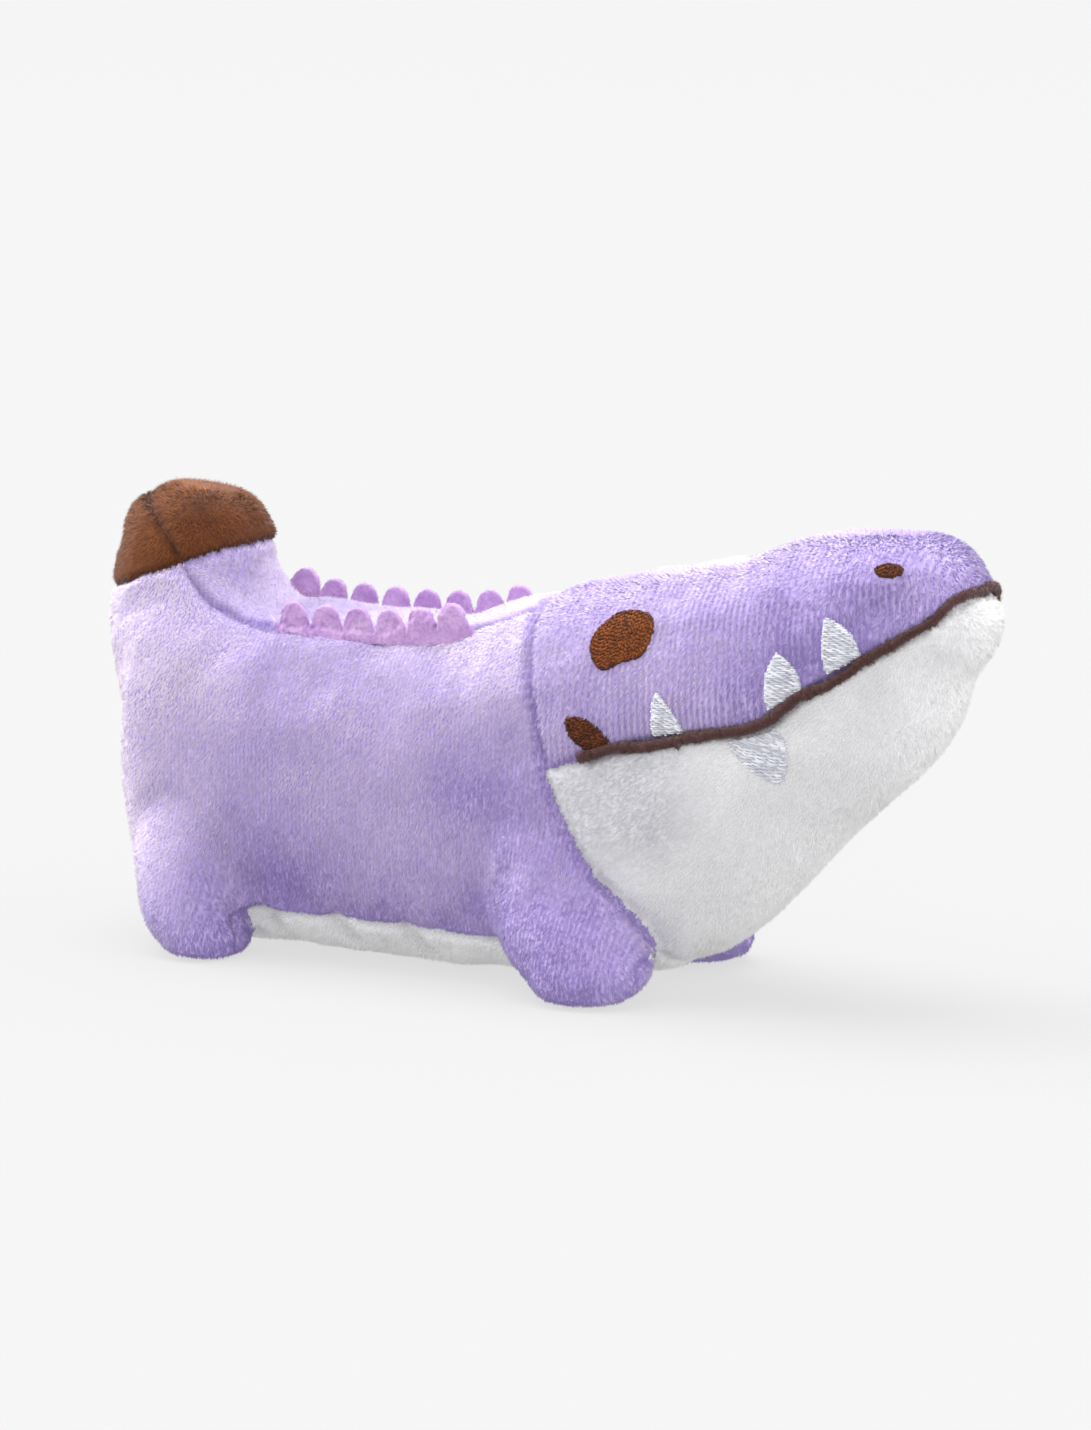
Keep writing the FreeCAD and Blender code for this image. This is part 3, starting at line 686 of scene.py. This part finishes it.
# ---------------------------------------------------------------- cords and stitches
def tube(path, radii, sides=8):
    """A closed tube along a path, pointed at both ends: vertices and triangles."""
    path, radii = np.asarray(path, float), np.asarray(radii, float)
    tangent = unit(np.gradient(path, axis=0))
    helper = np.array((0, 0, 1.0)) if abs(tangent[0, 2]) < 0.8 else np.array((1.0, 0, 0))
    across = np.empty_like(path)
    last = unit(np.cross(tangent[0], helper))
    for i, along in enumerate(tangent):
        last = unit(last - along * (last @ along))
        across[i] = last
    other = np.cross(tangent, across)
    angles = np.arange(sides) / sides * math.tau
    ring = (across[:, None] * np.cos(angles)[None, :, None]
            + other[:, None] * np.sin(angles)[None, :, None]) * radii[:, None, None] + path[:, None]
    co = np.concatenate([ring.reshape(-1, 3), [path[0] - tangent[0] * radii[0] * 0.5],
                         [path[-1] + tangent[-1] * radii[-1] * 0.5]])
    rows = len(path)
    i = np.arange(rows - 1)[:, None] * sides
    k = np.arange(sides)[None]
    a, b = i + k, i + (k + 1) % sides
    first_half = np.stack([a, b, b + sides], -1).reshape(-1, 3)
    second_half = np.stack([a, b + sides, a + sides], -1).reshape(-1, 3)
    k = np.arange(sides)
    top, start_point, end_point = (rows - 1) * sides, rows * sides, rows * sides + 1
    start_fan = np.stack([np.full(sides, start_point), (k + 1) % sides, k], 1)
    end_fan = np.stack([np.full(sides, end_point), top + k, top + (k + 1) % sides], 1)
    return co, np.concatenate([first_half, second_half, start_fan, end_fan])


def inside_runs(tree, side, low, high, angle, pitch, step):
    """Rows across a node seen from the side: for each row, the stretches that lie inside it."""
    c, s = math.cos(angle), math.sin(angle)
    middle = (low + high) / 2
    reach = np.hypot(high[0] - low[0], high[2] - low[2]) / 2 + step
    for row in np.arange(-reach, reach, pitch):
        run = []
        for at in np.arange(-reach, reach + step, step):
            x, z = middle[0] + at * c - row * s, middle[2] + at * s + row * c
            hit, _ = from_side(tree, x, z, side)
            if hit is not None:
                run.append((x, z))
            if run and (hit is None or at > reach):
                yield np.array(run)
                run = []


def underlay(node, side, lift):
    """The patch of skin under a piece of embroidery, lifted a little: a closed sheet."""
    low, high = (np.array(corner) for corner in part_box(node))
    centres = skin[quads].mean(1)
    near = np.flatnonzero(((centres > low - 1.5 * MM) & (centres < high + 1.5 * MM)).all(1))
    tree = tree_of(*node_arrays(node))
    picked = [i for i in near if from_side(tree, centres[i][0], centres[i][2], side)[0] is not None]
    co, faces = shell(skin + normals * lift, quads[picked], normals, lift + 0.25 * MM)
    return co, np.concatenate([faces[:, :3], faces[:, [0, 2, 3]]])


ARCH_AT = np.linspace(0, 1, 6)
ARCH = np.abs(np.sin(math.pi * ARCH_AT)) ** 0.6    # a stitch's height along its length
RUN_STEP = 0.12 * MM
SHORTEST_RUN, SHORTEST_STITCH = 0.30 * MM, 0.35 * MM


def embroider(word, slot, low_colour, high_colour, angle_degrees, pitch, length, thread, height):
    """Embroidery of one kind on both sides: rows of short threads over an underlay. The rows' pitch,
    the stitches' length, the thread's thickness and its height over the skin are in mm."""
    for hand, side in SIDES:
        node = f"{word}_{hand}"
        materials = tints(node, low_colour, high_colour, roughness=0.5, sheen=0.0, specular=0.3)
        low, high = (np.array(corner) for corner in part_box(node))
        dark_edge = slot == "brown_thread"
        tree = tree_of(*node_arrays(node))
        co, tris = underlay(node, side, (height - 0.3) * MM)
        parts, slots = [(co, tris)], [np.full(len(tris), 1)]
        runs = inside_runs(tree, side, low, high, math.radians(angle_degrees), pitch * MM, RUN_STEP)
        for count, run in enumerate(runs):
            span = np.linalg.norm(run[-1] - run[0])
            if span < SHORTEST_RUN:
                continue
            along = (run[-1] - run[0]) / span
            start = -0.25 * MM - (count % 3) / 3 * length * MM
            while start < span:
                stop = start + length * MM * rng.uniform(0.85, 1.15)
                a, b = max(start, -0.05 * MM), min(stop, span + 0.05 * MM)
                start = stop - 0.12 * MM
                if b - a < SHORTEST_STITCH:
                    continue
                found = [on_skin(*(run[0] + along * at), side) for at in (a, b)]
                if None not in found:
                    (first, out), (last, _) = found
                    path = (first + (last - first) * ARCH_AT[:, None]
                            + out * ((height * ARCH - 0.05) * MM)[:, None] + rng.normal(0, 0.02 * MM, 3))
                    parts.append(tube(path, thread / 2 * MM * (0.55 + 0.45 * ARCH), 6))
                    edge = a <= 0 or b >= span
                    slots.append(np.full(len(parts[-1][1]), rng.integers(0, 3) if edge and dark_edge
                                         else rng.integers(1, TINTS)))
        obj = make(node, *merged(parts), materials, np.concatenate(slots))
        place_piece(obj, slot, node)


embroider("eye", "brown_thread", "thread_dark", "thread_light", 72, 0.25, 0.85, 0.27, 0.62)
embroider("mouth_corner", "brown_thread", "thread_dark", "thread_mid", 20, 0.30, 1.3, 0.31, 0.62)
embroider("nostril", "brown_thread", "thread_dark", "thread_mid", 80, 0.28, 0.9, 0.30, 0.62)
embroider("upper_teeth", "white_thread", "tooth_dark", "tooth_light", -6, 0.28, 2.6, 0.31, 0.66)
embroider("lower_tooth", "white_thread", "tooth_dark", "tooth_light", -14, 0.28, 2.6, 0.31, 0.66)


# ---------------------------------------------------------------- mouth piping
PIPING_TURN_X = 62 * MM     # the piping is measured by its angle about this point on the X axis
PIPING_STEP = 0.45 * MM
PIPING_RADIUS = 1.02 * MM


def centreline(node):
    """The middle of the piping, from one mouth corner round the snout to the other."""
    co, _ = node_arrays(node)
    turn = np.arctan2(co[:, 1], co[:, 0] - PIPING_TURN_X)
    middles = []
    for angle in np.linspace(turn.min(), turn.max(), 90):
        near = co[np.abs(turn - angle) < math.radians(2.2)]
        if len(near):
            middles.append(near.mean(0))
    middles = np.array(middles)
    for _ in range(3):
        middles[1:-1] = (middles[:-2] + 2 * middles[1:-1] + middles[2:]) / 4
    steps = np.concatenate([[0], np.cumsum(np.linalg.norm(np.diff(middles, axis=0), axis=1))])
    even = np.arange(0, steps[-1], PIPING_STEP)
    return np.stack([np.interp(even, steps, column) for column in middles.T], 1)


line = centreline("mouth_piping")
hug = [skin_tree.find_nearest(Vector(p)) for p in line.tolist()]
base = np.array([h[0] for h in hug])
for _ in range(4):
    base[1:-1] = (base[:-2] + 2 * base[1:-1] + base[2:]) / 4
piping_out = unit(np.array([h[1] for h in hug]) + 1e-9)
share = np.abs(np.linspace(-1, 1, len(line)))
radius = PIPING_RADIUS * (0.76 + 0.24 * np.clip(share * 2.2 - 0.3, 0, 1))
radius = radius * (1 + 0.10 * cloud(base, 2.2))
cord_path = base + piping_out * (radius * 0.9)[:, None]
co, tris = tube(cord_path, radius, 12)
co = co + 0.10 * MM * np.stack([cloud(co, 0.9, s) for s in (0.1, 3.7, 7.9)], 1)
piping_materials = tints("piping", "piping_dark", "piping_light", roughness=0.8, sheen=0.2)
fuzz = len(line) * 26
at = rng.integers(0, len(line), fuzz)
tangent = unit(np.gradient(cord_path, axis=0))[at]
around = unit(np.cross(tangent, rng.normal(0, 1, (fuzz, 3))))
roots = (cord_path[at] + around * radius[at][:, None] * 0.9
         + tangent * rng.uniform(-0.4, 0.4, (fuzz, 1)) * MM)
hairs = spikes(roots, unit(around + tangent * rng.normal(0, 0.7, (fuzz, 1))),
               rng.uniform(0.35, 0.75, fuzz) * MM, np.full(fuzz, 0.16 * MM))
slots = np.concatenate([np.full(len(tris), 1), np.repeat(rng.integers(0, TINTS, fuzz), 4)])
place_piece(make("mouth_piping", *merged([(co, tris), hairs]), piping_materials, slots),
            "dark_piping", "mouth_piping")

# ---------------------------------------------------------------- felt petals
FELT_VOXEL = 0.30 * MM
FELT_SET = 0.8 * MM         # how far the strips sink with the cloth under its pile
ROOT_REACH = 1.6 * MM       # the foot of a strip, lower than this over the skin, is sewn into it
ROOT_DEPTH = 1.9 * MM       # and sinks this much more
# The left, far strip gets its own copy of the same felt's colours, as painted light: its dark end a touch
# lighter.
FELT_COLOURS = {"right": ("felt_dark", "felt_light"), "left": ("felt_left_dark", "felt_left_light")}
for hand, colours in FELT_COLOURS.items():
    node = f"back_trim_{hand}"
    co, faces = remeshed(*node_arrays(node), FELT_VOXEL)
    edges = edges_of(faces)
    co = smoothed(co, edges, 3)
    for _ in range(2):
        co = (co + neighbour_mean(co, edges)) / 2
    outward = vertex_normals(co, faces)
    co = co + outward * ((0.14 + 0.10 * cloud(co, 3.0) + 0.06 * cloud(co, 0.8)) * MM)[:, None]
    nearest = [skin_tree.find_nearest(Vector(p)) for p in co.tolist()]
    gap = np.array([(Vector(p) - h[0]).dot(h[1]) for p, h in zip(co.tolist(), nearest)])
    sink = np.clip(1 - gap / ROOT_REACH, 0, 1) * ROOT_DEPTH
    co = co - np.array([h[1] for h in nearest]) * (sink[:, None] + FELT_SET)
    material = cloth_material(f"{node}_felt", *colours, 5, 0.6, sheen=0.5)
    place_piece(make(node, co, faces, [material]), "felt", node)
    outward = vertex_normals(co, faces)
    pick = rng.integers(0, len(co), len(co) // 2)
    fibre_co, fibre_tris = spikes(co[pick], unit(outward[pick] + rng.normal(0, 0.7, (len(pick), 3))),
                                  rng.uniform(0.2, 0.5, len(pick)) * MM, np.full(len(pick), 0.10 * MM))
    fuzz_tints = tints(f"{node}_fuzz", *colours)
    place_piece(make(f"{node}_fuzz", fibre_co, fibre_tris, fuzz_tints,
                     np.repeat(rng.integers(0, TINTS, len(pick)), 4)), "felt")


# ---------------------------------------------------------------- sewing thread
def solids_of(node):
    """The vertices of each separate solid in a node."""
    co, faces = node_arrays(node)
    _, same = np.unique(np.round(co / 1e-6).astype(int), axis=0, return_inverse=True)
    same = same.ravel()
    label = islands(same.max() + 1, edges_of(same[faces]))[same]
    return [co[label == one] for one in np.unique(label)]


sewing, _ = principled("sewing_thread", COLOURS["sewing"], roughness=0.5, sheen=0.1, specular=0.4)
QUILT_STITCH, QUILT_PITCH = 2.1 * MM, 3.0 * MM
STITCH_AT = np.linspace(0, 1, 7)
STITCH_TAPER = 0.6 + 0.4 * np.sin(math.pi * STITCH_AT)
parts = []
for row in solids_of("belly_quilting_thread"):
    ends = row[row[:, 1].argmin()], row[row[:, 1].argmax()]
    length = np.linalg.norm(ends[1] - ends[0])
    for start in np.arange(0.6 * MM, length - 2.4 * MM, QUILT_PITCH):
        path = []
        for t in STITCH_AT:
            p = ends[0] + (ends[1] - ends[0]) * ((start + QUILT_STITCH * t) / length)
            hit = skin_tree.ray_cast(Vector((p[0], p[1], -0.01)), Vector((0, 0, 1)))[0]
            path.append(np.array(hit) - np.array((0, 0, 0.28 * math.sin(math.pi * t) - 0.08)) * MM)
        parts.append(tube(path, 0.17 * MM * STITCH_TAPER, 6))
place_piece(make("belly_quilting_thread", *merged(parts), [sewing]), "sewing_thread",
            "belly_quilting_thread")
parts = []
for stitch in solids_of("closing_stitches"):
    low, high = stitch.min(0), stitch.max(0)
    path = []
    for t in STITCH_AT:
        x, z = low[0] + (high[0] - low[0]) * t * 0.6, low[2] + (high[2] - low[2]) * t
        found = on_skin(x, z, 1)
        path.append(found[0] + found[1] * ((0.30 * math.sin(math.pi * t) - 0.05) * MM))
    parts.append(tube(path, 0.18 * MM * STITCH_TAPER, 6))
place_piece(make("closing_stitches", *merged(parts), [sewing]), "sewing_thread", "closing_stitches")

# ---------------------------------------------------------------- fibre inside
fibre_material = cloth_material("polyester_fibre", "fibre_dark", "fibre_light", 8, 0.9)
FIBRE_VOXEL = 1.6 * MM
FIBRE_DEPTH = 1.8 * MM      # the least depth of the filling under the skin
for name in FIBRES:
    co, faces = remeshed(*node_arrays(name), FIBRE_VOXEL)
    co = smoothed(co, edges_of(faces), 3)
    outward = vertex_normals(co, faces)
    co = co - outward * ((1.9 + 0.5 * cloud(co, 5)) * MM)[:, None]
    for i, p in enumerate(co.tolist()):
        hit, normal, _, _ = skin_tree.find_nearest(Vector(p))
        if (Vector(p) - hit).dot(normal) > -FIBRE_DEPTH:
            co[i] = hit - normal * FIBRE_DEPTH
    place_piece(make(name, co, faces, [fibre_material]), "fibre", name, fill=0.9)

# ---------------------------------------------------------------- floor and backdrop
AZIMUTH, ELEVATION, DISTANCE = math.radians(30), math.radians(10.2), 1.3    # of the camera
FLOOR_HALF, BACKDROP_REACH, SWEEP, BACKDROP_TOP = 4.0, 3.6, 0.8, 1.6
PAPER_GREY = 0.11


def stage_sheet():
    """A pale floor that sweeps up behind the toy into a backdrop, as one smooth sheet."""
    profile = [(-FLOOR_HALF, 0.0), (BACKDROP_REACH, 0.0)]
    for turn in np.linspace(0, math.pi / 2, 16)[1:]:
        profile.append((BACKDROP_REACH + SWEEP * math.sin(turn), SWEEP * (1 - math.cos(turn))))
    profile.append((BACKDROP_REACH + SWEEP, BACKDROP_TOP))
    co = np.array([(x, y, z) for y, z in profile for x in (-FLOOR_HALF, FLOOR_HALF)])
    c, s = math.cos(AZIMUTH), math.sin(AZIMUTH)
    co[:, :2] = co[:, :2] @ np.array([[c, s], [-s, c]])
    faces = np.array([(2 * i, 2 * i + 1, 2 * i + 3, 2 * i + 2) for i in range(len(profile) - 1)])
    return co, faces


paper, shader = principled("paper", (PAPER_GREY,) * 3, roughness=0.9, sheen=0, specular=0.0)
shader.inputs["Emission Color"].default_value = (1, 1, 1, 1)
shader.inputs["Emission Strength"].default_value = 0.659
floor = make("floor", *stage_sheet(), [paper])

# ---------------------------------------------------------------- light
world = bpy.data.worlds.new("studio")
scene.world = world
world.use_nodes = True
world.node_tree.nodes["Background"].inputs["Color"].default_value = (1, 1, 1, 1)
world.node_tree.nodes["Background"].inputs["Strength"].default_value = 0.92


def sun(name, toward, strength, spread_degrees):
    """A soft lamp that shines from the direction given."""
    lamp = bpy.data.lights.new(name, "SUN")
    lamp.energy, lamp.angle = strength, math.radians(spread_degrees)
    obj = bpy.data.objects.new(name, lamp)
    obj.rotation_mode = "QUATERNION"
    obj.rotation_quaternion = Vector(toward).to_track_quat("Z", "Y")
    scene.collection.objects.link(obj)


sun("top", (-0.2, 0.1, 1.0), 3.0, 50)
sun("left", (-1.0, -0.1, 0.5), 3.0, 45)
sun("right", (1.0, 0.2, 0.25), 1.3, 50)
sun("front", (0.65, -0.75, 0.05), 0.75, 70)

# ---------------------------------------------------------------- camera
AIM = Vector((-9.35, 15.15, 1.1)) * MM    # from the middle of the CAD box
FIELD = 0.11                # half the view's height over its distance
aim = (CAD_BOX[0] + CAD_BOX[1]) / 2 + AIM
back = Vector((math.sin(AZIMUTH) * math.cos(ELEVATION), -math.cos(AZIMUTH) * math.cos(ELEVATION),
               math.sin(ELEVATION)))
camera = bpy.data.objects.new("camera", bpy.data.cameras.new("camera"))
scene.collection.objects.link(camera)
camera.location = aim + back * DISTANCE
camera.rotation_mode = "QUATERNION"
camera.rotation_quaternion = back.to_track_quat("Z", "Y")
camera.data.sensor_width = 36    # spans the upright frame's height, its longer side
camera.data.lens = camera.data.sensor_width / 2 / FIELD
camera.data.clip_start, camera.data.clip_end = 0.1, 50
scene.camera = camera
scene.view_settings.view_transform = "Standard"
